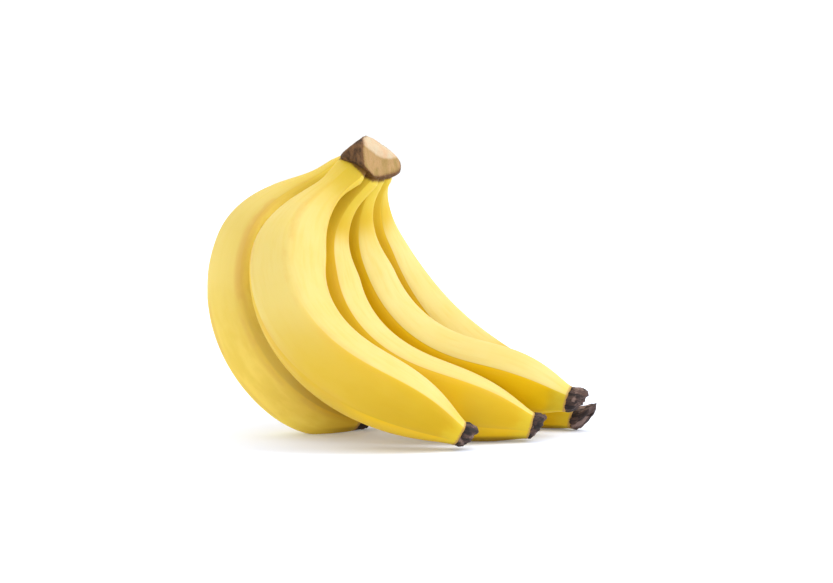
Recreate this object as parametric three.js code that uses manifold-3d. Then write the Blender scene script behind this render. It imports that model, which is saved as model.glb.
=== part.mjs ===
// A cluster of five bananas on one crown. It rests on its fingers, with the crown up.
// Millimetres, +Z up, the origin under the middle of the cluster on the surface it rests on.
// Each finger is swept along a bending centre line with a five-faced section.

import * as THREE from 'three';
import { mergeVertices } from 'three/addons/utils/BufferGeometryUtils.js';
import Module from 'manifold-3d';

const wasm = await Module();
wasm.setup();

// ---------------------------------------------------------------- driving dimensions

const GAP = 0.3; // clear air between pieces that touch

// Where the middle of the cluster's footprint lies in the frame that the roots are given in.
const FOOTPRINT_CENTRE = { x: 3, y: 18.4 };

// The finger that all five share, before each one's girth.
const NECK_RADIUS = 6.5;
const NECK_FLARE = 0.4; // added where the neck meets the crown
const SOCKET_TAPER = 0.72; // how much of its radius the neck keeps at its end inside the crown
const BODY_RADIUS = 18.8;
const TIP_RADIUS = 6.6;

// Where along the finger each change comes, as a part of its length.
const NECK_ENDS = 0.06;
const FLARE_ENDS = 0.09;
const BODY_STARTS = 0.34;
const FULL_AT = 0.42;
const TAPER_STARTS = 0.6;
const TAPER_POWER = 4; // higher keeps the body full for longer
const TAPER_END = 1.35; // over 1, the tip ends in a short neck

const SIDE_FLATTENING = 0.93; // a finger is slimmer from side to side than from back to belly
const FACE_INSET = 0.972; // how far out the middle of a face is, as a part of the radius
const FACE_BOW = 2.2; // the radius of the arc that each face is, where 1 would make a round finger
const RIDGE_SHARPNESS = 22;

// root: where the finger leaves the crown. reach: how far its neck runs on into the crown.
// length: along the centre line. girth: how stout it is. shoulder: under 1, the neck swells sooner.
// yaw: the heading of the tip seen from above, at mid length, from +X towards +Y. sweep: how far it turns.
// lean: how far the plane in which the finger bends tilts away from upright.
// start: the slope of the neck, in degrees from level. The three bends are added to it on the way down.
// splay: how far the neck sets off sideways. ridge: where one of the five ridges starts round the finger.
// twist: how far the ridges have turned at the tip. swing: how far they turn and come back on the way.
// stub: the length of the dry blossom end. stubLift: how far that turns up.
const FINGERS = [
  {
    name: 'banana_1', root: [-30.8, 26.5, 132.7], reach: 12, length: 184, girth: 0.94, shoulder: 0.85,
    yaw: 24, sweep: 30, lean: 12, start: 204, neckBend: 6, bodyBend: 124, tipBend: 14, splay: 13,
    ridge: 112, twist: 0, swing: 0, stub: 6, stubLift: 0.5,
  },
  {
    name: 'banana_2', root: [-23.5, 14.5, 133.2], reach: 6, length: 194, girth: 0.98, shoulder: 0.85,
    yaw: 7, sweep: 42, lean: 34, start: 230, neckBend: 8, bodyBend: 104, tipBend: -19, splay: -2,
    ridge: 84, twist: 10, swing: 0, stub: 6, stubLift: 1.5,
  },
  {
    name: 'banana_3', root: [-16, 27, 130.9], reach: 4, length: 202, girth: 1.02, shoulder: 0.95,
    yaw: -2, sweep: 16, lean: 27, start: 225, neckBend: 33, bodyBend: 97, tipBend: -13, splay: 19,
    ridge: 40, twist: 26, swing: 18, stub: 4.5, stubLift: 1,
  },
  {
    name: 'banana_4', root: [-13.5, 40, 131.2], reach: 5, length: 194, girth: 1.0, shoulder: 0.85,
    yaw: -22, sweep: 10, lean: 3, start: 239, neckBend: 33, bodyBend: 93, tipBend: -19, splay: 8,
    ridge: 46, twist: 24, swing: 0, stub: 7, stubLift: 1,
  },
  {
    name: 'banana_5', root: [-9.5, 54, 130.4], reach: 7, length: 200, girth: 0.95, shoulder: 0.65,
    yaw: -20, sweep: -27, lean: 5, start: 238, neckBend: 53, bodyBend: 50, tipBend: 4, splay: 45,
    ridge: 24, twist: 44, swing: 18, stub: 8, stubLift: 6,
  },
];

// The blossom end: parts of its length, with its radius there as a part of the finger's at the end.
const STUB_PROFILE = [[0, 0.98], [0.25, 1.06], [0.6, 1.02], [0.88, 0.86], [1, 0.6]];

const RINGS = 34; // rings of points along a finger
const STEPS_PER_RING = 6; // steps in which the centre line is added up
const SIDES = 20; // points round a finger, four to a face

// The crown is a lump along the row of necks.
const CROWN = {
  near: [-22, 6, 140.5], // the middles of its two ends
  far: [-4, 60, 140],
  halfThickness: 11,
  halfHeight: 11.4,
  squareness: 2.8, // of its section, where 2 is an ellipse
  endRoundness: 3.5,
  endInset: 0.995, // how much of its half length it is rounded over, which leaves a small flat end
  stations: 14, // rings of points along it
  sides: 24, // points round it
};

// The flats that shape the crown: a point on each and the way it faces.
const CROWN_FLATS = {
  topCut: { point: [-16.9, 8, 148], facing: [0.67, -0.18, 0.72] }, // two strokes of the knife at the stalk
  sideCut: { point: [-16.9, 8, 146.9], facing: [0.91, -0.39, 0.09] },
  shoulder: { point: [-5.8, 40, 146.3], facing: [0.77, -0.02, 0.64] }, // where the upper cut rolls over
  endCut: { point: [1.3, 50, 140], facing: [0.88, 0.47, 0] }, // where the next finger was cut away
  back: { point: [-17.5, 22, 150.8], facing: [-0.61, 0.02, 0.78] },
  farSlope: { point: [-17.2, 22, 152.6], facing: [0.19, 0.26, 0.95] },
  underside: { point: [-28.8, 6, 142], facing: [-0.44, -0.26, -0.86] },
};

// ---------------------------------------------------------------- materials

const peel = new THREE.MeshStandardMaterial({ color: 0xf2d34b, roughness: 0.5, metalness: 0 });
const rind = new THREE.MeshStandardMaterial({ color: 0x8a6238, roughness: 0.85, metalness: 0 });
const blossom = new THREE.MeshStandardMaterial({ color: 0x3b2722, roughness: 0.9, metalness: 0 });

// ---------------------------------------------------------------- a finger's shape

const radians = THREE.MathUtils.degToRad;
const smooth = (from, to, t) => THREE.MathUtils.smoothstep(t, from, to);

// The radius a part t of the way along, before the five faces.
function radiusAt(finger, t) {
  const swelling = t < FULL_AT ? FULL_AT * (t / FULL_AT) ** finger.shoulder : t;
  const swell = smooth(NECK_ENDS, BODY_STARTS, swelling);
  const tapering = Math.max(0, (t - TAPER_STARTS) / (1 - TAPER_STARTS)) ** TAPER_POWER;
  const taper = 1 - (1 - tapering) ** TAPER_END;
  const flare = NECK_FLARE * (1 - smooth(0, FLARE_ENDS, t));
  const neck = NECK_RADIUS + flare;
  const radius = neck + (BODY_RADIUS - neck) * swell - (BODY_RADIUS - TIP_RADIUS) * taper;
  return finger.girth * radius;
}

// The angle round the section at which a ridge runs, a part t of the way along.
function ridgeAngle(finger, t) {
  return radians(finger.ridge + finger.twist * t + finger.swing * Math.sin(Math.PI * t));
}

// How far the skin is from the centre at an angle round the section, for a radius of 1.
// Each of the five faces is an arc whose centre is set back beyond the section's own.
function sectionAt(finger, t, angle) {
  const setBack = FACE_BOW - FACE_INSET;
  let sum = 0;
  for (let face = 0; face < 5; face += 1) {
    const turned = angle - ridgeAngle(finger, t) - (face + 0.5) * ((2 * Math.PI) / 5);
    const chord = Math.sqrt(FACE_BOW ** 2 - (setBack * Math.sin(turned)) ** 2);
    const skin = chord - setBack * Math.cos(turned);
    sum += skin ** -RIDGE_SHARPNESS;
  }
  return sum ** (-1 / RIDGE_SHARPNESS);
}

// The centre line's direction, the way the belly faces, and the side, a part t of the way along.
function axesAt(finger, t) {
  const middle = 0.35 * t + 0.65 * smooth(0.05, 0.9, t);
  const slope = radians(
    finger.start
      + finger.neckBend * smooth(0.04, 0.34, t)
      + finger.bodyBend * middle
      + finger.tipBend * smooth(0.72, 1, t),
  );
  const yaw = radians(finger.yaw + finger.sweep * (t - 0.5));
  const lean = radians(finger.lean);
  const splay = radians(finger.splay * (1 - smooth(0.02, 0.42, t)));
  const ahead = new THREE.Vector3(Math.cos(yaw), Math.sin(yaw), 0);
  const left = new THREE.Vector3(-Math.sin(yaw), Math.cos(yaw), 0);
  const up = new THREE.Vector3(0, 0, Math.cos(lean)).addScaledVector(left, Math.sin(lean));
  const across = left.clone().multiplyScalar(Math.cos(lean));
  across.z -= Math.sin(lean);
  const direction = new THREE.Vector3()
    .addScaledVector(ahead, Math.cos(splay) * Math.cos(slope))
    .addScaledVector(up, Math.cos(splay) * Math.sin(slope))
    .addScaledVector(across, Math.sin(splay));
  const belly = new THREE.Vector3()
    .addScaledVector(ahead, -Math.sin(slope))
    .addScaledVector(up, Math.cos(slope));
  belly.addScaledVector(direction, -belly.dot(direction)).normalize();
  const side = new THREE.Vector3().crossVectors(direction, belly);
  return { direction, belly, side };
}

// Points along the centre line, one for each ring.
function centreLine(finger) {
  const steps = RINGS * STEPS_PER_RING;
  const point = new THREE.Vector3(...finger.root);
  const points = [point.clone()];
  for (let step = 1; step <= steps; step += 1) {
    const { direction } = axesAt(finger, (step - 0.5) / steps);
    point.addScaledVector(direction, finger.length / steps);
    if (step % STEPS_PER_RING === 0) {
      points.push(point.clone());
    }
  }
  return points;
}

function ringAt(finger, t, centre, radius) {
  const { belly, side } = axesAt(finger, t);
  const ring = [];
  for (let corner = 0; corner < SIDES; corner += 1) {
    const angle = (corner / SIDES) * 2 * Math.PI + ridgeAngle(finger, t);
    const reach = radius * sectionAt(finger, t, angle);
    ring.push(
      centre.clone()
        .addScaledVector(belly, reach * Math.cos(angle))
        .addScaledVector(side, reach * SIDE_FLATTENING * Math.sin(angle)),
    );
  }
  return ring;
}

// ---------------------------------------------------------------- closed solids

// A skin over rings of equally many points, closed by a fan at each end.
function loft(rings) {
  const count = rings[0].length;
  const positions = rings.flat().flatMap((p) => [p.x, p.y, p.z]);
  const middleOf = (ring) => ring.reduce((sum, p) => sum.add(p), new THREE.Vector3()).divideScalar(count);
  const first = rings.length * count;
  const last = first + 1;
  positions.push(...middleOf(rings[0]).toArray(), ...middleOf(rings[rings.length - 1]).toArray());
  const faces = [];
  for (let i = 0; i < count; i += 1) {
    const j = (i + 1) % count;
    for (let r = 0; r < rings.length - 1; r += 1) {
      const a = r * count;
      const b = a + count;
      faces.push(a + i, a + j, b + j, a + i, b + j, b + i);
    }
    const end = (rings.length - 1) * count;
    faces.push(first, j, i, last, end + i, end + j);
  }
  const geometry = new THREE.BufferGeometry();
  geometry.setAttribute('position', new THREE.Float32BufferAttribute(positions, 3));
  geometry.setIndex(faces);
  return geometry;
}

function solidOf(geometry) {
  const bare = geometry.clone();
  bare.deleteAttribute('normal');
  bare.deleteAttribute('uv');
  const merged = mergeVertices(bare);
  const mesh = new wasm.Mesh({
    numProp: 3,
    vertProperties: new Float32Array(merged.attributes.position.array),
    triVerts: new Uint32Array(merged.index.array),
  });
  return new wasm.Manifold(mesh);
}

function meshOf(name, solid, material) {
  const { vertProperties, triVerts } = solid.getMesh();
  const geometry = new THREE.BufferGeometry();
  geometry.setAttribute('position', new THREE.Float32BufferAttribute(vertProperties, 3));
  geometry.setIndex(Array.from(triVerts));
  geometry.computeVertexNormals();
  const mesh = new THREE.Mesh(geometry, material);
  mesh.name = name;
  return mesh;
}

// Everything on the far side of a plane, as a block too large to matter.
function beyond(point, facing) {
  const size = 400;
  const block = new THREE.BoxGeometry(size, size, size);
  block.translate(0, 0, size / 2);
  const up = new THREE.Vector3(0, 0, 1);
  const normal = new THREE.Vector3(...facing).normalize();
  block.applyQuaternion(new THREE.Quaternion().setFromUnitVectors(up, normal));
  block.translate(...point);
  return solidOf(block);
}

// ---------------------------------------------------------------- the pieces

// The finger itself. margin swells it all over, to clear the room that a neighbour leaves it.
function fingerSolid(finger, margin = 0) {
  const rings = centreLine(finger).map((centre, ring) => {
    const t = ring / RINGS;
    return ringAt(finger, t, centre, radiusAt(finger, t) + margin);
  });
  const { direction } = axesAt(finger, 0);
  const top = new THREE.Vector3(...finger.root).addScaledVector(direction, -finger.reach - margin);
  rings.unshift(ringAt(finger, 0, top, radiusAt(finger, 0) * SOCKET_TAPER + margin));
  return solidOf(loft(rings));
}

// The dry stub of the blossom on the finger's end, which turns up a little.
function stubSolid(finger) {
  const end = centreLine(finger)[RINGS];
  const { direction, belly } = axesAt(finger, 1);
  const radius = radiusAt(finger, 1);
  const rings = STUB_PROFILE.map(([along, width]) => {
    const centre = end.clone()
      .addScaledVector(direction, GAP + along * finger.stub)
      .addScaledVector(belly, along ** 2 * finger.stubLift);
    return ringAt(finger, 1, centre, radius * width);
  });
  return solidOf(loft(rings));
}

// The crown, before the necks are let into it.
function crownSolid() {
  const near = new THREE.Vector3(...CROWN.near);
  const far = new THREE.Vector3(...CROWN.far);
  const middle = near.clone().add(far).divideScalar(2);
  const half = far.clone().sub(near).divideScalar(2);
  const across = new THREE.Vector3(half.y, -half.x, 0).normalize();
  const rounded = (value) => Math.sign(value) * Math.abs(value) ** (2 / CROWN.squareness);
  const rings = [];
  for (let station = 0; station <= CROWN.stations; station += 1) {
    const way = -Math.cos((station / CROWN.stations) * Math.PI) * CROWN.endInset;
    const scale = (1 - Math.abs(way) ** CROWN.endRoundness) ** (1 / CROWN.endRoundness);
    const centre = middle.clone().addScaledVector(half, way);
    const ring = [];
    for (let corner = 0; corner < CROWN.sides; corner += 1) {
      const angle = (corner / CROWN.sides) * 2 * Math.PI;
      const point = centre.clone();
      point.addScaledVector(across, scale * CROWN.halfThickness * rounded(Math.sin(angle)));
      point.z += scale * CROWN.halfHeight * rounded(Math.cos(angle));
      ring.push(point);
    }
    rings.push(ring);
  }
  let lump = solidOf(loft(rings));
  for (const { point, facing } of Object.values(CROWN_FLATS)) {
    lump = lump.subtract(beyond(point, facing));
  }
  return lump;
}

// ---------------------------------------------------------------- the cluster

const ground = beyond([0, 0, 0], [0, 0, -1]);
const cluster = new THREE.Group();
cluster.position.set(-FOOTPRINT_CENTRE.x, -FOOTPRINT_CENTRE.y, 0);

// Fingers press on each other, so each is cut back to where the ones made before it end,
// and flattened where it lies on the surface.
const MAKING_ORDER = ['banana_2', 'banana_3', 'banana_4', 'banana_5', 'banana_1'];
const pressing = [];
for (const name of MAKING_ORDER) {
  const finger = FINGERS.find((one) => one.name === name);
  let solid = fingerSolid(finger).subtract(ground);
  for (const neighbour of pressing) {
    solid = solid.subtract(neighbour);
  }
  pressing.push(fingerSolid(finger, GAP));
  cluster.add(meshOf(name, solid, peel));
}

FINGERS.forEach((finger, index) => {
  cluster.add(meshOf(`blossom_end_${index + 1}`, stubSolid(finger).subtract(ground), blossom));
});

let crown = crownSolid();
for (const neck of pressing) {
  crown = crown.subtract(neck);
}
cluster.add(meshOf('crown', crown, rind));

export default cluster;
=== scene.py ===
"""A bunch of five bananas on one crown: fine skins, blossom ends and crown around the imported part."""

import math

import bpy
import numpy as np
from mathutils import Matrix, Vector, noise


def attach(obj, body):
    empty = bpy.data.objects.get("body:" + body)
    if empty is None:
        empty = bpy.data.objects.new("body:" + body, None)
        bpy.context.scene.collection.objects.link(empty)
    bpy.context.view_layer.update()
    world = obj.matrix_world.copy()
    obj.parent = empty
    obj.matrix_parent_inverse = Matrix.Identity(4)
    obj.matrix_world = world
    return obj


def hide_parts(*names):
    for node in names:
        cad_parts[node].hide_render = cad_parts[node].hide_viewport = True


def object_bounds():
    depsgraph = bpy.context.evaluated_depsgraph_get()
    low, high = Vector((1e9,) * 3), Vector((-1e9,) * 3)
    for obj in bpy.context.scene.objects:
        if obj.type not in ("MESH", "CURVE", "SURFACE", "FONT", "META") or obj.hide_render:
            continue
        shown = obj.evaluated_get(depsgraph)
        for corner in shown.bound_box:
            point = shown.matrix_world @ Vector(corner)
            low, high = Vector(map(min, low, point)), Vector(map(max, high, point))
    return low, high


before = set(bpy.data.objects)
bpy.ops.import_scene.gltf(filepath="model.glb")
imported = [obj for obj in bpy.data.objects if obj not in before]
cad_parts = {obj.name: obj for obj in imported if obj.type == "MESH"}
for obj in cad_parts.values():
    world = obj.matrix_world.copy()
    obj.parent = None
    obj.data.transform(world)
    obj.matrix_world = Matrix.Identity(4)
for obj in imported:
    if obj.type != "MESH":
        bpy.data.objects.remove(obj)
cad_low, cad_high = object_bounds()

# ---------------------------------------------------------------- dimensions, in millimetres

MM = 0.001
FOOTPRINT_CENTRE = np.array([3.0, 18.4, 0.0])  # taken off every point, as in the part
# Air between the solids where they touch. The skins keep it where fingers press on each other, but
# cross it near the crown, where the necks flow together, and where a blossom end grips its finger.
GAP = 0.3

# the finger that all five share, before each one's girth
NECK_RADIUS = 6.5
NECK_FLARE = 0.4  # added where the neck meets the crown
SOCKET_TAPER = 0.72  # how much of its radius the neck keeps at its end inside the crown
BODY_RADIUS = 18.8
TIP_RADIUS = 6.6
SIDE_FLATTENING = 0.93  # a finger is slimmer from side to side than from back to belly
FACES = 5  # round a finger, with a ridge between each two
FACE_INSET = 0.972  # how far out the middle of a face is, as a part of the radius
FACE_BOW = 2.2  # radius of the arc that each face is, where 1 would make a round finger
RIDGE_SHARPNESS = 22.0

# where along the finger each change comes, as a part of its length
NECK_ENDS = 0.06
FLARE_ENDS = 0.09
BODY_STARTS = 0.34
FULL_AT = 0.42
TAPER_STARTS = 0.6
TAPER_POWER = 4.0  # higher keeps the body full for longer
TAPER_END = 1.35  # over 1, the tip ends in a short neck
NECK_BENDS = (0.04, 0.34)
BODY_BENDS = (0.05, 0.9)
EVENLY_BENT = 0.35  # the share of the body's bend that is spread evenly over the whole length
TIP_BENDS = (0.72, 1.0)
SPLAY_FADES = (0.02, 0.42)

# root: where the finger leaves the crown. reach: how far its neck runs on into the crown.
# length: along the centre line. girth: how stout it is. shoulder: under 1, the neck swells sooner.
# yaw: the heading of the tip seen from above, at mid length, from +X towards +Y.
# sweep: how far that heading turns from the crown to the tip.
# lean: how far the plane in which the finger bends tilts away from upright.
# start: the slope of the neck, in degrees from level. The three bends are added to it on the way down.
# splay: how far the neck sets off sideways. ridge: where one of the ridges starts round the finger.
# twist: how far the ridges have turned at the tip. swing: how far they turn and come back on the way.
# stub: the length of the dry blossom end. stub_lift: how far that turns up.
# dull: how far the peel has lost its brightness. dull_from: it is fully so from this far off the tip.
FINGERS = {
    "banana_1": dict(
        root=(-30.8, 26.5, 132.7), reach=12, length=184, girth=0.94, shoulder=0.85,
        yaw=24, sweep=30, lean=12, start=204, neck_bend=6, body_bend=124, tip_bend=14, splay=13,
        ridge=112, twist=0, swing=0, stub=6, stub_lift=0.5, dull=0.95, dull_from=50,
    ),
    "banana_2": dict(
        root=(-23.5, 14.5, 133.2), reach=6, length=194, girth=0.98, shoulder=0.85,
        yaw=7, sweep=42, lean=34, start=230, neck_bend=8, body_bend=104, tip_bend=-19, splay=-2,
        ridge=84, twist=10, swing=0, stub=6, stub_lift=1.5, dull=0.5, dull_from=125,
    ),
    "banana_3": dict(
        root=(-16, 27, 130.9), reach=4, length=202, girth=1.02, shoulder=0.95,
        yaw=-2, sweep=16, lean=27, start=225, neck_bend=33, body_bend=97, tip_bend=-13, splay=19,
        ridge=40, twist=26, swing=18, stub=4.5, stub_lift=1, dull=0.1, dull_from=60,
    ),
    "banana_4": dict(
        root=(-13.5, 40, 131.2), reach=5, length=194, girth=1.0, shoulder=0.85,
        yaw=-22, sweep=10, lean=3, start=239, neck_bend=33, body_bend=93, tip_bend=-19, splay=8,
        ridge=46, twist=24, swing=0, stub=7, stub_lift=1, dull=0.0, dull_from=60,
    ),
    "banana_5": dict(
        root=(-9.5, 54, 130.4), reach=7, length=200, girth=0.95, shoulder=0.65,
        yaw=-20, sweep=-27, lean=5, start=238, neck_bend=53, body_bend=50, tip_bend=4, splay=45,
        ridge=24, twist=44, swing=18, stub=8, stub_lift=6, dull=0.1, dull_from=60,
    ),
}
MAKING_ORDER = ["banana_2", "banana_3", "banana_4", "banana_5", "banana_1"]  # later ones give way

# the crown is a lump along the row of necks
CROWN_NEAR = np.array([-22.0, 6.0, 140.5])  # the middles of its two ends
CROWN_FAR = np.array([-4.0, 60.0, 140.0])
CROWN_HALF_THICKNESS = 11.0
CROWN_HALF_HEIGHT = 11.4
CROWN_SQUARENESS = 2.8  # of its section, where 2 is an ellipse
CROWN_END_ROUNDNESS = 3.5
EDGE_SHARPNESS = 34  # of the edges between the crown's faces
# the flats that shape the crown: a point on each and the way it faces
CROWN_FLATS = {
    "top_cut": ((-16.9, 8, 148), (0.67, -0.18, 0.72)),
    "side_cut": ((-16.9, 8, 146.9), (0.91, -0.39, 0.09)),
    "shoulder": ((-5.8, 40, 146.3), (0.77, -0.02, 0.64)),
    "end_cut": ((1.3, 50, 140), (0.88, 0.47, 0)),
    "back": ((-17.5, 22, 150.8), (-0.61, 0.02, 0.78)),
    "far_slope": ((-17.2, 22, 152.6), (0.19, 0.26, 0.95)),
    "underside": ((-28.8, 6, 142), (-0.44, -0.26, -0.86)),
}

# ---------------------------------------------------------------- how fine the looks are

RINGS = 230  # rings of points along a finger
STEPS_PER_RING = 4  # steps in which the centre line is added up
SIDES = 110  # points round a finger
NECK_RINGS = 6  # in the part of the neck that runs up into the crown
# the rings that close the tip: how far beyond it, and their part of its radius
TIP_RINGS = ((0.25, 0.97), (0.45, 0.9), (0.5, 0.8))
SEARCH_STEP = 3  # every third ring is enough to find which is nearest
LINE_STEPS = 14  # halvings in the search for where a neighbour's skin is

# how the necks flow together, and how the fingers press on each other
MERGE_REACH = 5.0  # how far from each other two necks still flow together
MERGE_FULL_TO = 2.0  # from the crown, on the skin
MERGE_ENDS_AT = 22.0
GROWN_TOGETHER = ("banana_1", "banana_2")  # these two flow together further down
GROWN_REACH = 17.0
GROWN_ENDS_AT = 62.0
PRESS_STARTS_AT = 6.0  # from the crown, where a neighbour begins to press the skin in
PRESS_FULL_AT = 18.0
PRESS_LEAVES = 0.2  # of the way out from the centre line, however hard the neighbour presses

# what the peel's paint depends on, painted light and shade among it
FACE_SHARE = 0.7  # how far a face's painted light and shade is one value, instead of following its curve
RIDGE_SPREAD = 3.5  # width of the overdrawn step of painted light and shade beside a ridge, in sides of the ring
RIDGE_OVERDRAWN = 0.7
BROWNED = {"banana_2": 3.2}  # how much further a neck is browned on the side of the cut
BROWNED_FROM = 0.45  # how far the skin turns towards the cut before this begins, where 1 is fully
DRIED = {"banana_1": 5.0}  # how far up from the blossom end the peel has dried
DULL_AT_TIP = 0.2  # the share of its dullness that a finger has up to DULL_RISES_AT from its tip
DULL_RISES_AT = 5.0
SKY_FROM = 80.0  # the height below which the skin is painted darker, as painted shade from less and less sky
SKY_LOST = 0.5  # how much of that painted sky light is lost at the floor
# how far out from the skin to feel for what is near, and the share that each distance counts; this sets
# where shade and fill light are painted in creases
SHELTER_PROBES = ((2.5, 0.3), (7.0, 0.4), (15.0, 0.3))
GRAIN_RADIUS = 17.0  # of the straightened finger on which the peel's grain is laid
GRAIN_SHIFT = 71.0  # from one finger's grain to the next one's

# the roughness of the blossom ends and the crown
NOISE_WAY = (1.0, 2.7, -1.3)  # the way that a new seed shifts the noise
NOISE_DIMENSION = 0.8  # a lower number makes it rougher
NOISE_STEP = 2.1  # how much finer each octave is

STUB_SIDES = 96  # points round a blossom end
STUB_SEED = 20  # the random draw of each torn rim starts from this and the finger's number
STUB_TORN = 0.5  # how far the rim is torn in and out
STUB_LOBED = 0.9  # how far its five lobes stand out
STUB_LOBES_TURN = 0.8  # from one stub to the next, in radians
STUB_HOOK = 1.6  # how much further out the rim stands at its top
STUB_DRAWN_IN = 0.4  # of the radius, how far the rim's lower side is drawn in
STUB_HEART = 0.4  # the part of the stub's length from which its roughness stands out
# its coarse and its fine roughness: scale, octaves, height, and seed for each stub's number
STUB_ROUGH = ((3.0, 3, 0.7, 5.0), (1.1, 2, 0.4, 9.0))
STUB_LOWEST = 0.02  # above the floor
STUB_GRAIN_RADIUS = 6.0  # of the straight roll on which its fibres are laid, and that roll's length
STUB_GRAIN_SHIFT = 40.0
# parts of the stub's length and of its radius, over the rim and down into the cup
STUB_OUTLINE = [
    (-0.12, 0.86), (-0.02, 0.95), (0.1, 1.0), (0.25, 1.03), (0.4, 1.05), (0.55, 1.04), (0.7, 1.0),
    (0.84, 0.94), (0.95, 0.86), (1.0, 0.76), (0.97, 0.66), (0.9, 0.57), (0.8, 0.48), (0.72, 0.38),
    (0.68, 0.28), (0.7, 0.18), (0.76, 0.1),
]

CROWN_STATIONS = 150  # loops of points along the crown
CROWN_SIDES = 190  # points in each
CROWN_POLE = 0.02  # the angle left round each end of the crown, which a fan of faces closes
CROWN_LOOP_SQUARENESS = 2.2  # of the loops of points round the crown, where 2 is an ellipse
CUT_SHARPNESS = 14  # of the edges between the strokes of the knife
RIM_SHARPNESS = 12  # a lower number makes the brown rim round the cut wider
CUT_LENGTH = 44.0  # of the line where the two long strokes meet
CUT_SWELLING = 1.2  # of the pale part of the cut, at its middle
CUT_SWELLS_AT = 5.0  # above that line, where the swelling is full
PALE_ENDS_AT = 1.0  # how far below that line the pale part ends, at the line's two ends
PALE_SAGS = 3.4  # how much lower it ends in the middle
PALE_RAGGED = 0.3
CROWN_COARSE = (4.5, 4, 3.0)  # the scale, octaves and seed of its coarse roughness
CROWN_FINE = (1.4, 3, 7.0)
RIND_ROUGH = (0.5, 0.22)  # how high the coarse and the fine roughness stand on the rind
CUT_ROUGH = (0.2, 0.08)  # and on the cut faces
CROWN_SET_IN = 0.15  # how far in the skin starts before it is roughened
NEAR_NECKS = (3.0, 9.0)  # below the crown's middle, where the rind turns to the necks' warmer brown

# ---------------------------------------------------------------- floor, light and camera

FLOOR_HALF = 6.0  # metres
FLOOR_CUTS = 24
FLOOR_COLOUR = (0.7, 0.745, 0.85, 1.0)
FLOOR_GLOW = 0.17
FLOOR_GLOW_COLOUR = (1.0, 1.0, 1.0, 1.0)
KEY_STRENGTH = 1.4
KEY_SPREAD = 40.0  # degrees
KEY_TOWARDS = (-0.75, -0.05, -0.85)
# The soft light all round is the sum of these. Each has an axis, two values along it of the direction
# that the light comes from, and its strength up to the first and from the second on.
AROUND = (
    ("Y", -0.85, -0.3, 1.0, 1.05),  # in front, and everywhere else
    ("X", -0.95, -0.4, 0.85, 0.0),  # added at the left
    ("X", 0.4, 0.95, 0.0, 0.75),  # added at the right
    ("Z", 0.15, 0.95, 0.0, 0.35),  # added above
)
SENSOR_WIDTH = 36.0  # millimetres, as is the focal length
FOCAL_LENGTH = 95.08
NEAREST_SEEN = 0.05  # metres, as are the next two
FURTHEST_SEEN = 40.0
CAMERA_PLACE = (0.0065, -1.1157, 0.1504)
CAMERA_TILT = 86.0  # degrees up from straight down


def smooth(start, end, value):
    """0 up to the start, 1 from the end on, with a smooth rise between."""
    x = np.clip((value - start) / (end - start), 0.0, 1.0)
    return x * x * (3.0 - 2.0 * x)


def unit(vectors):
    return vectors / np.linalg.norm(vectors, axis=-1, keepdims=True)


# ---------------------------------------------------------------- the fingers' shape


def radius_at(finger, t):
    """The radius at parts t of the length, before the five faces."""
    grown = FULL_AT * (np.clip(t, 0.0, None) / FULL_AT) ** finger["shoulder"]
    swell = smooth(NECK_ENDS, BODY_STARTS, np.where(t < FULL_AT, grown, t))
    tapering = np.clip((t - TAPER_STARTS) / (1.0 - TAPER_STARTS), 0.0, 1.0)
    taper = 1.0 - (1.0 - tapering**TAPER_POWER) ** TAPER_END
    neck = NECK_RADIUS + NECK_FLARE * (1.0 - smooth(0.0, FLARE_ENDS, t))
    return finger["girth"] * (
        neck + (BODY_RADIUS - neck) * swell - (BODY_RADIUS - TIP_RADIUS) * taper
    )


def ridge_angle(finger, t):
    """The angle round the section at which a ridge runs."""
    there_and_back = np.sin(math.pi * np.clip(t, 0.0, 1.0))
    return np.radians(finger["ridge"] + finger["twist"] * t + finger["swing"] * there_and_back)


def section_at(finger, t, angle):
    """How far the skin is from the centre at an angle round the section, for a radius of 1."""
    total = 0.0
    set_back = FACE_BOW - FACE_INSET
    for face in range(FACES):
        turned = angle - ridge_angle(finger, t) - (face + 0.5) * math.tau / FACES
        skin = np.sqrt(FACE_BOW**2 - (set_back * np.sin(turned)) ** 2) - set_back * np.cos(turned)
        total = total + skin**-RIDGE_SHARPNESS
    return total ** (-1.0 / RIDGE_SHARPNESS)


def axes_at(finger, t):
    """The centre line's direction, the way the belly faces, and the side."""
    bent = EVENLY_BENT * t + (1.0 - EVENLY_BENT) * smooth(*BODY_BENDS, t)
    slope = np.radians(
        finger["start"]
        + finger["neck_bend"] * smooth(*NECK_BENDS, t)
        + finger["body_bend"] * bent
        + finger["tip_bend"] * smooth(*TIP_BENDS, t)
    )[:, None]
    yaw = np.radians(finger["yaw"] + finger["sweep"] * (t - 0.5))
    splay = np.radians(finger["splay"] * (1.0 - smooth(*SPLAY_FADES, t)))[:, None]
    lean = math.radians(finger["lean"])
    flat = np.zeros_like(yaw)
    ahead = np.stack([np.cos(yaw), np.sin(yaw), flat], axis=1)
    left = np.stack([-np.sin(yaw), np.cos(yaw), flat], axis=1)
    upright = np.array([0.0, 0.0, 1.0])
    up = upright * math.cos(lean) + left * math.sin(lean)
    across = left * math.cos(lean) - upright * math.sin(lean)
    direction = np.cos(splay) * (np.cos(slope) * ahead + np.sin(slope) * up) + np.sin(splay) * across
    belly = -np.sin(slope) * ahead + np.cos(slope) * up
    belly = unit(belly - np.sum(belly * direction, axis=1, keepdims=True) * direction)
    return direction, belly, np.cross(direction, belly)


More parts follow.
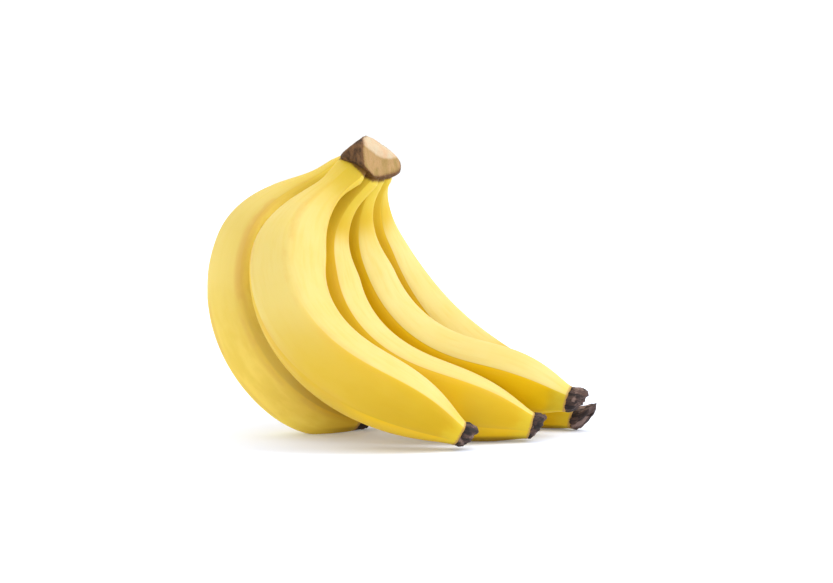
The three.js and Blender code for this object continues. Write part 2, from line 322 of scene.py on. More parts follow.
class Finger:
    """A finger's centre line and the frame of axes along it."""

    def __init__(self, facts):
        self.facts = facts
        steps = RINGS * STEPS_PER_RING
        direction = axes_at(facts, (np.arange(steps) + 0.5) / steps)[0]
        travelled = np.cumsum(direction * facts["length"] / steps, axis=0)
        line = np.vstack([np.zeros(3), travelled])[::STEPS_PER_RING]
        self.centre = np.array(facts["root"]) - FOOTPRINT_CENTRE + line
        self.t = np.arange(RINGS + 1) / RINGS
        self.direction, self.belly, self.side = axes_at(facts, self.t)

    def ring(self, centre, t, radius, angle):
        """Points round a centre, at angles, as in the part."""
        _, belly, side = axes_at(self.facts, np.array([t]))
        reach = radius * section_at(self.facts, t, angle)
        return (
            centre
            + (reach * np.cos(angle))[:, None] * belly
            + (reach * SIDE_FLATTENING * np.sin(angle))[:, None] * side
        )

    def clearance(self, points):
        """Nearly how far each point is outside this finger's skin; negative inside."""
        sparse = self.centre[::SEARCH_STEP]
        squares = (sparse**2).sum(axis=1)
        nearest = (squares[None, :] - 2.0 * points @ sparse.T).argmin(axis=1) * SEARCH_STEP
        offset = points - self.centre[nearest]
        along = np.sum(offset * self.direction[nearest], axis=1)
        height = np.sum(offset * self.belly[nearest], axis=1)
        width = np.sum(offset * self.side[nearest], axis=1) / SIDE_FLATTENING
        t = np.clip(self.t[nearest] + along / self.facts["length"], 0.0, 1.0)
        reach = radius_at(self.facts, t) * section_at(self.facts, t, np.arctan2(width, height))
        beyond = np.abs(along) - SEARCH_STEP * self.facts["length"] / RINGS
        return np.maximum(np.hypot(width, height) - reach, beyond)


fingers = {name: Finger(facts) for name, facts in FINGERS.items()}

# ---------------------------------------------------------------- the crown's shape

crown_middle = (CROWN_NEAR + CROWN_FAR) / 2 - FOOTPRINT_CENTRE
crown_half = (CROWN_FAR - CROWN_NEAR) / 2
crown_length = np.linalg.norm(crown_half)
crown_along = crown_half / crown_length
crown_across = unit(np.array([crown_half[1], -crown_half[0], 0.0]))


def flat_of(name):
    """A point on one of the crown's flats, and its normal."""
    point, facing = CROWN_FLATS[name]
    return np.array(point, float) - FOOTPRINT_CENTRE, unit(np.array(facing, float))


def crown_parts(offset):
    """For offsets from the crown's middle, how far out each face puts them, where 1 is on it."""
    along = np.abs(offset @ crown_along) / crown_length
    thick = np.abs(offset @ crown_across) / CROWN_HALF_THICKNESS
    high = np.abs(offset[:, 2]) / CROWN_HALF_HEIGHT
    section = (thick**CROWN_SQUARENESS + high**CROWN_SQUARENESS) ** (1.0 / CROWN_SQUARENESS)
    power = CROWN_END_ROUNDNESS
    parts = {"lump": (section**power + along**power) ** (1.0 / power)}
    for name in CROWN_FLATS:
        point, normal = flat_of(name)
        parts[name] = np.clip(offset @ normal, 0.0, None) / ((point - crown_middle) @ normal)
    return parts


def joined(parts, names, sharpness):
    """One measure for several faces, rounded off where they meet."""
    stacked = np.stack([parts[name] for name in names])
    largest = np.maximum(stacked.max(axis=0), 1e-9)
    return largest * ((stacked / largest) ** sharpness).sum(axis=0) ** (1.0 / sharpness)


def crown_clearance(points):
    """Nearly how far each point is outside the crown; negative inside."""
    offset = points - crown_middle
    parts = crown_parts(offset)
    outwards = np.max(np.stack(list(parts.values())), axis=0)
    return np.linalg.norm(offset, axis=1) * (1.0 - 1.0 / np.maximum(outwards, 1e-6))


# ---------------------------------------------------------------- meshes


def roughness_at(points, scale, octaves, seed):
    """Smooth noise from about -1 to 1 at each point, for a scale in millimetres."""
    shift = Vector([seed * part for part in NOISE_WAY])
    places = [Vector(point) / scale + shift for point in points.tolist()]
    return np.array([noise.fractal(at, NOISE_DIMENSION, NOISE_STEP, octaves) for at in places])


def held_in(points, lowest=0.0):
    """The points, with none below a height or outside the CAD model's box."""
    points[:, 2] = np.maximum(points[:, 2], lowest)
    return np.clip(points, np.array(cad_low) / MM, np.array(cad_high) / MM)


def piece(name, rings, material, attributes):
    """A smooth mesh over rings of equally many points, closed by a fan at each end."""
    stations, count = rings.shape[:2]
    points = rings.reshape(-1, 3)
    first = np.arange(stations - 1)[:, None] * count
    here = first + np.arange(count)[None, :]
    there = first + (np.arange(count)[None, :] + 1) % count
    quads = np.stack([here, there, there + count, here + count], axis=2).reshape(-1, 4)
    faces = quads.tolist()
    held = {key: values.reshape(len(points), -1) for key, values in attributes.items()}
    for ring, order in ((0, -1), (stations - 1, 1)):
        start = ring * count
        middle = len(points)
        points = np.vstack([points, rings[ring].mean(axis=0)])
        for key, values in held.items():
            held[key] = np.vstack([values, values[start : start + count].mean(axis=0)])
        for corner in range(count):
            pair = [start + corner, start + (corner + 1) % count]
            faces.append([middle, *pair[::order]])
    mesh = bpy.data.meshes.new(name)
    mesh.from_pydata((points * MM).tolist(), [], faces)
    for key, values in held.items():
        kind, field = ("FLOAT_VECTOR", "vector") if values.shape[1] == 3 else ("FLOAT", "value")
        layer = mesh.attributes.new(key, kind, "POINT")
        layer.data.foreach_set(field, values.ravel().astype(np.float32))
    mesh.validate()
    mesh.update()
    mesh.shade_smooth()
    mesh.materials.append(material)
    made = bpy.data.objects.new(name, mesh)
    bpy.context.scene.collection.objects.link(made)
    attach(made, "root")
    return made


# ---------------------------------------------------------------- materials


def colour(red, green, blue):
    """A colour from its values on a screen, 0 to 255."""
    values = [c / 255.0 for c in (red, green, blue)]
    linear = [c / 12.92 if c <= 0.04045 else ((c + 0.055) / 1.055) ** 2.4 for c in values]
    return (*linear, 1.0)


# below, beside and above say which way the skin faces: down, to a side or up. Colours that differ only
# by it are lit and shaded copies of one peel, painted light and shade.
PEEL = {
    "below": colour(184, 146, 2),
    "beside": colour(198, 160, 32),
    # a painted highlight: paler peel where the skin faces up into open air
    "painted_sky_highlight": colour(207, 188, 113),
    "blotch": colour(203, 170, 34),
    "grain": colour(196, 156, 26),
    # painted shade: a deeper yellow for faces that neighbours shut in, by the way they face
    "painted_crease_shade_below": colour(214, 171, 3),
    "painted_crease_shade_above": colour(188, 149, 2),
    # dull peel, painted lighter on its downward faces and darker on top, as painted fill light and
    # shade
    "dull_below": colour(236, 204, 92),
    "dull_beside": colour(212, 187, 94),
    "dull_above": colour(197, 173, 84),
    # painted fill light: dull peel painted lighter where neighbours shut it in
    "dull_crease_fill_below": colour(255, 232, 112),
    "dull_crease_fill_beside": colour(230, 206, 98),
    # painted shadow in the deepest creases
    "painted_crease_shadow": colour(112, 80, 8),
    "worn_ridge": colour(196, 150, 70),
    # the neck's greener tint, painted lighter on its downward faces as painted fill light
    "neck_painted_fill_below": colour(224, 200, 76),
    "neck_beside": colour(202, 172, 48),
    "tip": colour(206, 190, 60),
    "browned": colour(112, 76, 34),
    "dried_edge": colour(170, 128, 74),
    "dried": colour(40, 28, 24),
}
BLOSSOM = {
    "dark": colour(32, 23, 22),
    "fibre": colour(88, 66, 58),
    "pale_patch": colour(138, 114, 104),
    "black_patch": colour(20, 13, 14),
    "inside": colour(120, 96, 88),
}
CROWN = {
    "rind_dark": colour(44, 30, 19),
    "rind": colour(108, 76, 46),
    "rind_patch": colour(128, 94, 62),
    "rind_speck": colour(30, 22, 19),
    "rind_near_necks": colour(104, 70, 22),
    "tan": colour(166, 131, 84),
    "tan_patch": colour(146, 118, 64),
    "tan_streak": colour(136, 122, 58),
    "tan_speck": colour(104, 72, 42),
    "pale": colour(188, 172, 142),
    "pale_patch": colour(192, 158, 122),
    "pale_speck": colour(162, 128, 92),
    "end": colour(150, 112, 72),
    "end_dark": colour(104, 74, 48),
    "cut_rim": colour(98, 62, 22),
    "cut_edge": colour(92, 58, 30),
}


class Paint:
    """A material's node tree, built one node at a time."""

    def __init__(self, name):
        self.material = bpy.data.materials.new(name)
        self.material.use_nodes = True
        self.tree = self.material.node_tree
        self.shader = self.tree.nodes["Principled BSDF"]

    def add(self, kind, inputs=None, **settings):
        made = self.tree.nodes.new(kind)
        for key, value in settings.items():
            setattr(made, key, value)
        for socket, value in (inputs or {}).items():
            self.put(made.inputs[socket], value)
        return made

    def put(self, socket, value):
        if isinstance(value, bpy.types.NodeSocket):
            self.tree.links.new(value, socket)
        else:
            socket.default_value = value

    def number(self, name):
        """A value that the mesh holds at each point."""
        return self.add("ShaderNodeAttribute", attribute_name=name).outputs["Fac"]

    def vector(self, name):
        return self.add("ShaderNodeAttribute", attribute_name=name).outputs["Vector"]

    def stretched(self, vector, scale):
        """Coordinates in which patterns are drawn out along the third axis."""
        inputs = {"Vector": vector, "Scale": (1.0, 1.0, scale)}
        return self.add("ShaderNodeMapping", inputs).outputs["Vector"]

    def noise(self, vector, scale, detail, roughness=0.55):
        inputs = {"Vector": vector, "Scale": scale, "Detail": detail, "Roughness": roughness}
        return self.add("ShaderNodeTexNoise", inputs).outputs["Fac"]

    def between(self, value, low, high, to_low=0.0, to_high=1.0):
        """A smooth change from one number to another as the value goes from low to high."""
        inputs = {0: value, 1: low, 2: high, 3: to_low, 4: to_high}
        return self.add("ShaderNodeMapRange", inputs, interpolation_type="SMOOTHSTEP").outputs[0]

    def math(self, operation, first, second):
        return self.add("ShaderNodeMath", {0: first, 1: second}, operation=operation).outputs[0]

    def product(self, first, second):
        return self.math("MULTIPLY", first, second)

    def mix(self, share, first, second):
        """From the first colour at a share of 0 to the second at 1."""
        made = self.add("ShaderNodeMix", data_type="RGBA")
        self.put(made.inputs[0], share)
        self.put(made.inputs[6], first)
        self.put(made.inputs[7], second)
        return made.outputs[2]

    def bump(self, height, strength, distance, under=None):
        inputs = {"Height": height, "Strength": strength, "Distance": distance}
        if under is not None:
            inputs["Normal"] = under
        return self.add("ShaderNodeBump", inputs).outputs["Normal"]

    def finish(self, **sockets):
        for name, value in sockets.items():
            self.put(self.shader.inputs[name.replace("_", " ")], value)
        return self.material


def peel_material():
    paint = Paint("peel")
    straight = paint.vector("straight")
    sky = paint.number("sky")
    shelter = paint.number("shelter")
    shut_in = paint.number("shut_in")
    dull = paint.number("dull")
    from_crown = paint.number("from_crown")
    from_tip = paint.number("from_tip")
    blotch = paint.noise(straight, 45.0, 2.0)
    grain = paint.noise(paint.stretched(straight, 0.12), 420.0, 4.0)
    cloud = paint.noise(paint.stretched(straight, 0.5), 110.0, 3.0)

    # bright peel, painted darker on its downward faces as painted shade, with a pale painted highlight
    # where it lies open to the sky, and a deeper yellow painted shade where neighbours shut it in
    base = paint.mix(paint.between(sky, -0.5, -0.05), PEEL["below"], PEEL["beside"])
    # painted highlight where the skin faces up and nothing shuts it in
    open_to_air = paint.between(shut_in, 0.04, 0.22, 1.0, 0.0)
    painted_sky_highlight = paint.product(paint.between(sky, -0.12, 0.4), open_to_air)
    base = paint.mix(painted_sky_highlight, base, PEEL["painted_sky_highlight"])
    base = paint.mix(paint.between(blotch, 0.3, 0.7, 0.0, 0.2), base, PEEL["blotch"])
    base = paint.mix(paint.product(paint.between(grain, 0.45, 0.75), 0.2), base, PEEL["grain"])
    # painted shade where neighbours shut the skin in
    painted_crease_shade = paint.mix(paint.between(sky, -0.4, 0.3), PEEL["painted_crease_shade_below"], PEEL["painted_crease_shade_above"])
    base = paint.mix(paint.between(shut_in, 0.06, 0.3, 0.0, 0.9), base, painted_crease_shade)

    # duller peel, painted lighter on its downward faces and in its creases and darker on top, as
    # painted fill light and shade
    old = paint.mix(paint.between(sky, -0.9, 0.15), PEEL["dull_below"], PEEL["dull_beside"])
    old = paint.mix(paint.between(sky, 0.15, 0.65), old, PEEL["dull_above"])
    facing = paint.between(sky, -0.45, 0.15)
    crease = paint.mix(facing, PEEL["dull_crease_fill_below"], PEEL["dull_crease_fill_beside"])
    old = paint.mix(paint.between(shelter, 0.0, 0.8), old, crease)
    base = paint.mix(paint.product(dull, paint.between(cloud, 0.35, 0.65, 0.75, 1.0)), base, old)

    # painted shadow in the deepest creases, and the worn ridges
    deep = paint.between(shelter, 0.72, 1.0, 0.0, 0.6)
    base = paint.mix(
        paint.product(deep, paint.between(dull, 0.0, 0.6, 1.0, 0.0)), base, PEEL["painted_crease_shadow"]
    )
    ridge = paint.between(paint.number("ridge"), 0.75, 1.0)
    worn = paint.product(ridge, paint.between(cloud, 0.4, 0.62))
    worn = paint.product(worn, paint.between(dull, 0.0, 1.0, 0.12, 0.5))
    base = paint.mix(worn, base, PEEL["worn_ridge"])

    # greener neck and tip, the neck painted lighter on its downward faces as painted fill light
    wander = paint.math("SUBTRACT", paint.product(paint.noise(straight, 160.0, 3.0), 9.0), 4.5)
    neck = paint.mix(paint.between(sky, -0.5, 0.1), PEEL["neck_painted_fill_below"], PEEL["neck_beside"])
    edge = paint.math("ADD", from_crown, wander)
    base = paint.mix(paint.between(edge, 0.0, 52.0, 0.95, 0.0), base, neck)
    edge = paint.math("ADD", from_tip, wander)
    base = paint.mix(paint.between(edge, 1.0, 11.0, 0.4, 0.0), base, PEEL["tip"])

    # frayed brown lines at the crown and at the blossom end
    fray = paint.product(paint.noise(paint.stretched(straight, 0.35), 700.0, 4.0), 1.6)
    rim = paint.math("SUBTRACT", paint.math("ADD", from_crown, 0.8), fray)
    rim = paint.math("SUBTRACT", rim, paint.number("browned"))
    base = paint.mix(paint.between(rim, 0.3, 2.4, 0.95, 0.0), base, PEEL["browned"])
    rim = paint.math("SUBTRACT", paint.math("ADD", from_tip, 0.8), fray)
    rim = paint.math("SUBTRACT", rim, paint.number("dried"))
    base = paint.mix(paint.between(rim, 0.2, 1.2, 0.8, 0.0), base, PEEL["dried_edge"])
    base = paint.mix(paint.between(rim, -1.5, -1.0, 0.97, 0.0), base, PEEL["dried"])

    fine = paint.noise(paint.stretched(straight, 0.1), 900.0, 3.0)
    pores = paint.noise(straight, 1600.0, 2.0)
    normal = paint.bump(fine, 0.18, 0.0004)
    normal = paint.bump(pores, 0.12, 0.0002, normal)
    return paint.finish(
        Base_Color=base,
        Roughness=paint.between(grain, 0.3, 0.7, 0.46, 0.6),
        Normal=normal,
        Subsurface_Weight=0.12,
        Subsurface_Radius=(1.0, 0.45, 0.08),
        Subsurface_Scale=0.004,
        Specular_IOR_Level=paint.between(painted_sky_highlight, 0.0, 1.0, 0.08, 0.25),
    )


def blossom_material():
    paint = Paint("blossom_end")
    straight = paint.vector("straight")
    inner = paint.number("inner")
    fibre = paint.noise(paint.stretched(straight, 0.25), 520.0, 5.0, 0.65)
    patch = paint.noise(straight, 260.0, 3.0)
    base = paint.mix(paint.between(fibre, 0.38, 0.66), BLOSSOM["dark"], BLOSSOM["fibre"])
    base = paint.mix(paint.between(patch, 0.52, 0.66, 0.0, 0.75), base, BLOSSOM["pale_patch"])
    base = paint.mix(paint.between(patch, 0.48, 0.34, 0.0, 0.85), base, BLOSSOM["black_patch"])
    base = paint.mix(paint.between(inner, 0.3, 0.9, 0.0, 0.5), base, BLOSSOM["inside"])
    return paint.finish(
        Base_Color=base,
        Roughness=paint.between(patch, 0.3, 0.7, 0.7, 0.92),
        Normal=paint.bump(fibre, 0.7, 0.0012),
        Specular_IOR_Level=0.35,
    )


def crown_material():
    paint = Paint("crown")
    place = paint.vector("place")
    rough = paint.noise(paint.stretched(place, 0.4), 0.28, 5.0, 0.65)
    patch = paint.noise(place, 0.12, 3.0)
    fine = paint.noise(place, 1.1, 4.0)

    rind = paint.mix(paint.between(rough, 0.35, 0.65), CROWN["rind_dark"], CROWN["rind"])
    rind = paint.mix(paint.between(patch, 0.5, 0.72, 0.0, 0.6), rind, CROWN["rind_patch"])
    rind = paint.mix(paint.between(fine, 0.6, 0.75, 0.0, 0.6), rind, CROWN["rind_speck"])
    near_necks = paint.between(paint.number("near_necks"), 0.0, 1.0, 0.0, 0.6)
    rind = paint.mix(near_necks, rind, CROWN["rind_near_necks"])

    # the lower part of the cut is tan, the upper part paler
    tan = paint.mix(paint.between(patch, 0.35, 0.65), CROWN["tan"], CROWN["tan_patch"])
    tan = paint.mix(paint.between(rough, 0.5, 0.75, 0.0, 0.5), tan, CROWN["tan_streak"])
    tan = paint.mix(paint.between(fine, 0.55, 0.75, 0.0, 0.45), tan, CROWN["tan_speck"])
    pale = paint.mix(paint.between(patch, 0.35, 0.7), CROWN["pale"], CROWN["pale_patch"])
    pale = paint.mix(paint.between(fine, 0.55, 0.75, 0.0, 0.4), pale, CROWN["pale_speck"])
    cut = paint.mix(paint.between(paint.number("below_pale"), -0.8, 1.0), pale, tan)

    # a brown rim round the cut, and the older cut at the crown's end
    ragged = paint.product(paint.math("SUBTRACT", fine, 0.5), 0.5)
    rim = paint.math("ADD", paint.number("inside_cut"), paint.product(ragged, 0.8))
    cut = paint.mix(paint.between(rim, 0.5, 0.88, 0.85, 0.0), cut, CROWN["cut_rim"])
    edge = paint.math("ADD", paint.number("cut"), ragged)
    base = paint.mix(paint.between(edge, 0.3, 0.5), rind, CROWN["cut_edge"])
    base = paint.mix(paint.between(edge, 0.5, 0.8), base, cut)
    end = paint.mix(paint.between(rough, 0.35, 0.65), CROWN["end"], CROWN["end_dark"])
    edge = paint.math("ADD", paint.number("end_cut"), ragged)
    base = paint.mix(paint.between(edge, 0.4, 0.6), base, end)

    normal = paint.bump(rough, 0.5, 0.0012)
    normal = paint.bump(fine, 0.35, 0.0005, normal)
    return paint.finish(Base_Color=base, Roughness=0.8, Normal=normal, Specular_IOR_Level=0.25)


peel = peel_material()
blossom = blossom_material()
rind = crown_material()

# ---------------------------------------------------------------- the bananas


def skin_rings(finger):
    """A finger's rings before its neighbours press on it, their centres, and how far along they lie."""
    facts = finger.facts
    ring_angles = np.arange(SIDES) / SIDES * math.tau
    rings, centres, along = [], [], []

    def add(centre, t, radius, distance):
        rings.append(finger.ring(centre, t, radius, ring_angles + ridge_angle(facts, t)))
        centres.append(centre)
        along.append(distance)

    for step in range(NECK_RINGS, 0, -1):
        up = step / NECK_RINGS
        centre = finger.centre[0] - finger.direction[0] * facts["reach"] * up
        radius = radius_at(facts, 0.0) * (1.0 + (SOCKET_TAPER - 1.0) * up)
        add(centre, 0.0, radius, -facts["reach"] * up)
    for t, centre in zip(finger.t, finger.centre):
        add(centre, t, radius_at(facts, t), t * facts["length"])
    for beyond, narrower in TIP_RINGS:
        centre = finger.centre[-1] + finger.direction[-1] * beyond
        add(centre, 1.0, radius_at(facts, 1.0) * narrower, facts["length"] + beyond)
    return np.array(rings), np.array(centres)[:, None, :], np.array(along)


def swelling(name, other, apart, from_crown):
    """How far the skin swells towards a neighbour's near the crown, where the two are so far apart."""
    grown = name in GROWN_TOGETHER and other in GROWN_TOGETHER
    furthest, ends_at = (GROWN_REACH, GROWN_ENDS_AT) if grown else (MERGE_REACH, MERGE_ENDS_AT)
    merging = furthest * (1.0 - smooth(MERGE_FULL_TO, ends_at, from_crown)) + 1e-6
    return merging / 4.0 * np.clip(1.0 - np.abs(apart) / merging, 0.0, None) ** 2


def part_left(neighbour, inside, spokes, reach):
    """The part of its way out from the centre line that each point keeps beside a neighbour."""
    low = np.full(len(reach), PRESS_LEAVES)
    high = np.ones(len(reach))
    for _ in range(LINE_STEPS):
        middle = (low + high) / 2
        free = neighbour.clearance(inside + spokes * (reach * middle)[:, None]) > GAP
        low = np.where(free, middle, low)
        high = np.where(free, high, middle)
    return low


def beside_neighbours(name, points, centres, from_crown):
    """The points after the necks have swelled together and the fingers have pressed on each other."""
    spokes = points - centres
    reach = np.linalg.norm(spokes, axis=1)
    spokes = spokes / reach[:, None]
    out = np.zeros(len(points))
    pressed = reach.copy()
    made_before = MAKING_ORDER[: MAKING_ORDER.index(name)]
    for other, neighbour in fingers.items():
        if other == name:
            continue
        apart = neighbour.clearance(points)
        out = np.maximum(out, swelling(name, other, apart, from_crown))
        if other not in made_before:
            continue
        held = np.flatnonzero(apart < GAP)
        inside = points[held] - spokes[held] * reach[held][:, None]
        kept = reach[held] * part_left(neighbour, inside, spokes[held], reach[held])
        pressed[held] = np.minimum(pressed[held], kept)
    share = smooth(PRESS_STARTS_AT, PRESS_FULL_AT, from_crown)
    final = (reach + out) * (1.0 - share) + (pressed + out * (pressed >= reach)) * share
    return points + spokes * (final - reach)[:, None]


def facing_of(rings):
    """The way that the skin faces at each point of its rings."""
    around = np.roll(rings, -1, axis=1) - np.roll(rings, 1, axis=1)
    along = np.gradient(rings, axis=0)
    outwards = np.cross(around, along)
    return unit(outwards / np.maximum(np.linalg.norm(outwards, axis=2, keepdims=True), 1e-9) + 1e-9)


def shelter_of(name, points, facing):
    """How closely other pieces and the floor shut each point in, from 0 in the open to 1."""
    others = [finger for other, finger in fingers.items() if other != name]
    shelter = np.zeros(len(points))
    for distance, share in SHELTER_PROBES:
        probe = points + facing * distance
        room = np.minimum(crown_clearance(probe), probe[:, 2])
        for other in others:
            room = np.minimum(room, other.clearance(probe))
        shelter += share * np.clip(1.0 - room / distance, 0.0, 1.0)
    return shelter


def by_faces(values):
    """Each ring's values evened out within its faces, with the step at each ridge overdrawn, as a crisp
    step of painted light and shade at the ridges.
    """
    per_face = SIDES // FACES
    level = np.repeat(values.reshape(len(values), FACES, per_face).mean(axis=2), per_face, axis=1)
    spread = np.zeros_like(level)
    weights = np.exp(-0.5 * (np.arange(-per_face, per_face + 1) / RIDGE_SPREAD) ** 2)
    for shift, weight in zip(range(-per_face, per_face + 1), weights / weights.sum()):
        spread = spread + weight * np.roll(level, shift, axis=1)
    return FACE_SHARE * (level + RIDGE_OVERDRAWN * (level - spread)) + (1.0 - FACE_SHARE) * values


def peel_attributes(name, rings, along, from_crown):
    """What the peel's material needs to know at each point."""
    facts = FINGERS[name]
    shape = rings.shape[:2]
    facing = facing_of(rings)
    shelter = shelter_of(name, rings.reshape(-1, 3), facing.reshape(-1, 3)).reshape(shape)
    lowness = np.minimum(rings[:, :, 2] / SKY_FROM - 1.0, 0.0)
    towards_cut = smooth(BROWNED_FROM, 1.0, facing.reshape(-1, 3) @ flat_of("side_cut")[1])
    angles = np.broadcast_to(np.arange(SIDES) / SIDES * math.tau, shape)
    way = np.broadcast_to(along[:, None], shape)
    from_tip = facts["length"] - way
    kept_dull = DULL_AT_TIP + (1.0 - DULL_AT_TIP) * smooth(DULL_RISES_AT, facts["dull_from"], from_tip)
    straight = np.stack([np.cos(angles) * GRAIN_RADIUS, np.sin(angles) * GRAIN_RADIUS, way], axis=2)
    shift = GRAIN_SHIFT * (1 + list(FINGERS).index(name))
    return {
        "straight": (straight + np.array([shift, -shift, 0.0])) * MM,
        "from_crown": from_crown.reshape(shape),
        "from_tip": from_tip,
        "ridge": 0.5 + 0.5 * np.cos(FACES * angles),
        "dull": facts["dull"] * kept_dull,
        # shelter, shut_in and sky carry the painted light and shade: sky from the way the skin faces
        # and its height, shelter and shut_in from how closely the skin is shut in
        "shelter": shelter,
        "shut_in": by_faces(shelter),
        "dried": np.full(shape, DRIED.get(name, 0.0)),
        "browned": (BROWNED.get(name, 0.0) * towards_cut).reshape(shape),
        "sky": by_faces(facing[:, :, 2]) + SKY_LOST * lowness,
    }


def make_banana(name):
    rings, centres, along = skin_rings(fingers[name])
    points = rings.reshape(-1, 3)
    centres = np.broadcast_to(centres, rings.shape).reshape(-1, 3)
    from_crown = crown_clearance(points)
    points = held_in(beside_neighbours(name, points, centres, from_crown))
    rings = points.reshape(rings.shape)
    attributes = peel_attributes(name, rings, along, from_crown)
    made = piece(f"peel_{name[-1]}", rings, peel, attributes)
    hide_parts(name)


for finger_name in FINGERS:
    make_banana(finger_name)

# ---------------------------------------------------------------- the blossom ends


def torn_rim(number):
    """How far in or out each point of a rim is torn, from about -1 to 1."""
    torn = np.random.default_rng(STUB_SEED + number).uniform(-1.0, 1.0, STUB_SIDES)
    beside = np.roll(torn, 1) + np.roll(torn, -1)
    return 0.5 * torn + 0.25 * beside


def roughened(points, middle, number):
    """A stub's points moved in and out from its middle by a coarse and a fine roughness."""
    heights = np.zeros(len(points))
    for scale, octaves, height, seed in STUB_ROUGH:
        heights = heights + height * roughness_at(points, scale, octaves, seed * number)
    return points + unit(points - middle) * heights[:, None]


def make_stub(name):
    finger = fingers[name]
    facts = finger.facts
    number = int(name[-1])
    end = finger.centre[-1]
    direction, belly = finger.direction[-1], finger.belly[-1]
    radius = radius_at(facts, 1.0)
    angle = np.arange(STUB_SIDES) / STUB_SIDES * math.tau
    turned = angle + ridge_angle(facts, 1.0)
    lobes = 0.5 + 0.5 * np.cos(FACES * angle + STUB_LOBES_TURN * number)
    torn = torn_rim(number)
    side_of = np.cos(turned)[:, None] * belly + np.sin(turned)[:, None] * finger.side[-1]
    upper = np.clip(side_of[:, 2], -1.0, 1.0)
    rings, straight, inner = [], [], []
    for along, width in STUB_OUTLINE:
        lift = belly * along**2 * facts["stub_lift"]
        centre = end + direction * (GAP + along * facts["stub"]) + lift
        ring = finger.ring(centre, 1.0, radius * width, turned)
        drawn_in = STUB_DRAWN_IN * np.clip(along, 0.0, 1.0) * np.clip(-upper, 0.0, 1.0)
        ring = ring + (centre - ring) * drawn_in[:, None]
        ragged = np.clip(along, 0.0, 1.0) ** 2
        out = ragged * (STUB_LOBED * (lobes - 0.5) + STUB_TORN * torn + STUB_HOOK * upper)
        rings.append(ring + direction * out[:, None])
        inner.append(np.full(STUB_SIDES, len(inner) / len(STUB_OUTLINE)))
        unrolled = [np.cos(angle), np.sin(angle), np.full(STUB_SIDES, along)]
        straight.append(np.stack(unrolled, axis=1) * STUB_GRAIN_RADIUS + STUB_GRAIN_SHIFT * number)
    rings = np.array(rings)
    middle = end + direction * facts["stub"] * STUB_HEART
    points = roughened(rings.reshape(-1, 3), middle, number)
    rings = held_in(points, STUB_LOWEST).reshape(rings.shape)
    attributes = {"straight": np.array(straight) * MM, "inner": np.array(inner)}
    made = piece(f"blossom_{number}", rings, blossom, attributes)
    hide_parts(f"blossom_end_{number}")


for finger_name in FINGERS:
    make_stub(finger_name)

# ---------------------------------------------------------------- the crown


def cut_line():
    """A point on the line where the two long cuts meet, and its direction, away from the front."""
    upper, upper_normal = flat_of("top_cut")
    lower, lower_normal = flat_of("side_cut")
    direction = unit(np.cross(upper_normal, lower_normal))
    direction = direction * np.sign(direction[1])
    reaches = [upper_normal @ upper, lower_normal @ lower, direction @ lower]
    start = np.linalg.solve(np.array([upper_normal, lower_normal, direction]), reaches)
    return start, direction


def crown_loops():
    """Ways out from the crown's middle: loops round it, one after another along it."""
    way = -np.cos(np.linspace(CROWN_POLE, math.pi - CROWN_POLE, CROWN_STATIONS))
    angle = np.arange(CROWN_SIDES) / CROWN_SIDES * math.tau
    power = CROWN_END_ROUNDNESS
    scale = (1.0 - np.abs(way) ** power) ** (1.0 / power)

    def squared(value):
        return np.sign(value) * np.abs(value) ** (2.0 / CROWN_LOOP_SQUARENESS)

    across = scale[:, None] * CROWN_HALF_THICKNESS * squared(np.sin(angle))[None, :]
    height = scale[:, None] * CROWN_HALF_HEIGHT * squared(np.cos(angle))[None, :]
    return (
        way[:, None, None] * crown_half
        + across[:, :, None] * crown_across
        + height[:, :, None] * np.array([0.0, 0.0, 1.0])
    )


def make_crown():
    loops = crown_loops()
    offset = loops.reshape(-1, 3)
    parts = crown_parts(offset)
    cuts = ["top_cut", "side_cut", "shoulder"]
    cut_part = joined(parts, cuts, CUT_SHARPNESS)
    parts = {"cut": cut_part, **{key: value for key, value in parts.items() if key not in cuts}}
    outwards = joined(parts, parts, EDGE_SHARPNESS)
    shares = {key: (parts[key] / outwards) ** EDGE_SHARPNESS for key in ("cut", "end_cut")}
    others = np.max([values for key, values in parts.items() if key != "cut"], axis=0)
    inside_cut = 1.0 / (1.0 + (others / np.maximum(parts["cut"], 1e-6)) ** RIM_SHARPNESS)
    points = crown_middle + offset / outwards[:, None]

    start, direction = cut_line()
    way = (points - start) @ direction
    below = (start + way[:, None] * direction)[:, 2] - points[:, 2]
    arch = np.sin(math.pi * np.clip(way / CUT_LENGTH, 0.0, 1.0))
    swelling_out = CUT_SWELLING * arch * smooth(0.0, CUT_SWELLS_AT, -below) * inside_cut
    coarse = roughness_at(points, *CROWN_COARSE)
    fine = roughness_at(points, *CROWN_FINE)
    smooth_face = shares["cut"] + shares["end_cut"]
    on_rind = RIND_ROUGH[0] * coarse + RIND_ROUGH[1] * fine
    on_cut = CUT_ROUGH[0] * coarse + CUT_ROUGH[1] * fine
    rough = on_rind * (1.0 - smooth_face) + on_cut * smooth_face
    normal = unit(points - crown_middle)
    points = held_in(points + normal * (rough + swelling_out - CROWN_SET_IN)[:, None])
    sag = PALE_ENDS_AT + PALE_SAGS * arch
    attributes = {
        "place": points.reshape(loops.shape),
        "cut": shares["cut"],
        "end_cut": shares["end_cut"],
        "inside_cut": inside_cut,
        "below_pale": below - sag + PALE_RAGGED * coarse,
        "near_necks": smooth(*NEAR_NECKS, crown_middle[2] - points[:, 2]),
    }
    made = piece("crown_rind", points.reshape(loops.shape), rind, attributes)
    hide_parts("crown")


make_crown()

# ---------------------------------------------------------------- the stage


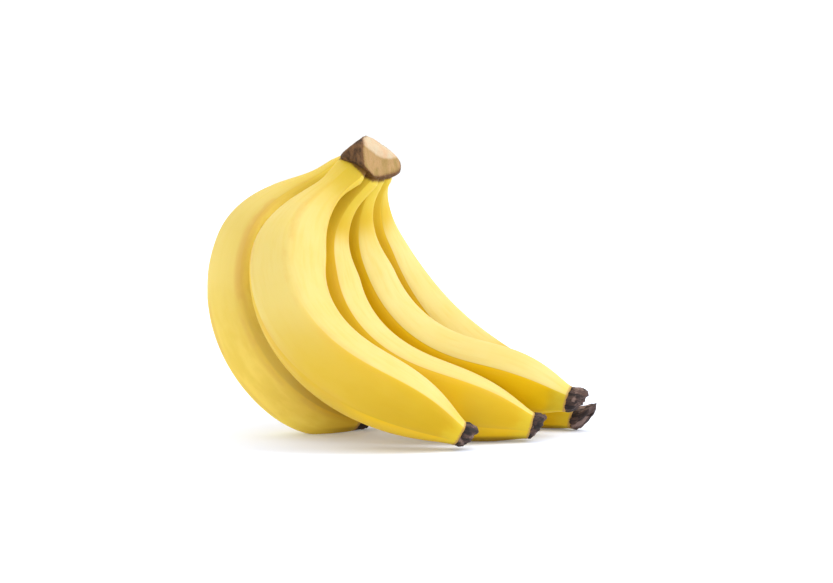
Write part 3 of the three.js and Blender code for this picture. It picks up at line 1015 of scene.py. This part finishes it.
def make_floor():
    steps = np.linspace(-FLOOR_HALF, FLOOR_HALF, FLOOR_CUTS + 1)
    points = [(x, y, 0.0) for y in steps for x in steps]
    row = FLOOR_CUTS + 1
    corners = [j * row + i for j in range(FLOOR_CUTS) for i in range(FLOOR_CUTS)]
    faces = [(corner, corner + 1, corner + row + 1, corner + row) for corner in corners]
    mesh = bpy.data.meshes.new("floor")
    mesh.from_pydata(points, [], faces)
    mesh.materials.append(
        Paint("floor").finish(
            Base_Color=FLOOR_COLOUR,
            Roughness=0.9,
            Specular_IOR_Level=0.1,
            Emission_Color=FLOOR_GLOW_COLOUR,
            Emission_Strength=FLOOR_GLOW,
        )
    )
    floor = bpy.data.objects.new("floor", mesh)
    bpy.context.scene.collection.objects.link(floor)


def make_key_light():
    lamp = bpy.data.lights.new("key", "SUN")
    lamp.energy = KEY_STRENGTH
    lamp.angle = math.radians(KEY_SPREAD)
    key = bpy.data.objects.new("key", lamp)
    bpy.context.scene.collection.objects.link(key)
    key.rotation_euler = Vector(KEY_TOWARDS).to_track_quat("-Z", "Y").to_euler()


def make_soft_light():
    world = bpy.data.worlds.new("studio")
    bpy.context.scene.world = world
    world.use_nodes = True
    tree = world.node_tree
    towards = tree.nodes.new("ShaderNodeTexCoord").outputs["Generated"]
    axes = tree.nodes.new("ShaderNodeSeparateXYZ")
    tree.links.new(towards, axes.inputs[0])
    strength = None
    for axis, *values in AROUND:
        fading = tree.nodes.new("ShaderNodeMapRange")
        fading.interpolation_type = "SMOOTHSTEP"
        for socket, value in enumerate(values, 1):
            fading.inputs[socket].default_value = value
        tree.links.new(axes.outputs[axis], fading.inputs[0])
        if strength is None:
            strength = fading.outputs[0]
            continue
        total = tree.nodes.new("ShaderNodeMath")
        tree.links.new(strength, total.inputs[0])
        tree.links.new(fading.outputs[0], total.inputs[1])
        strength = total.outputs[0]
    background = tree.nodes["Background"]
    background.inputs["Color"].default_value = (1.0, 1.0, 1.0, 1.0)
    tree.links.new(strength, background.inputs["Strength"])


def make_camera():
    lens = bpy.data.cameras.new("camera")
    lens.sensor_width = SENSOR_WIDTH
    lens.lens = FOCAL_LENGTH
    lens.clip_start = NEAREST_SEEN
    lens.clip_end = FURTHEST_SEEN
    camera = bpy.data.objects.new("camera", lens)
    camera.location = CAMERA_PLACE
    camera.rotation_euler = (math.radians(CAMERA_TILT), 0.0, 0.0)
    bpy.context.scene.collection.objects.link(camera)
    bpy.context.scene.camera = camera


make_floor()
make_soft_light()
make_key_light()
make_camera()
bpy.context.scene.view_settings.view_transform = "Standard"

# ---------------------------------------------------------------- the end

bpy.context.view_layer.update()
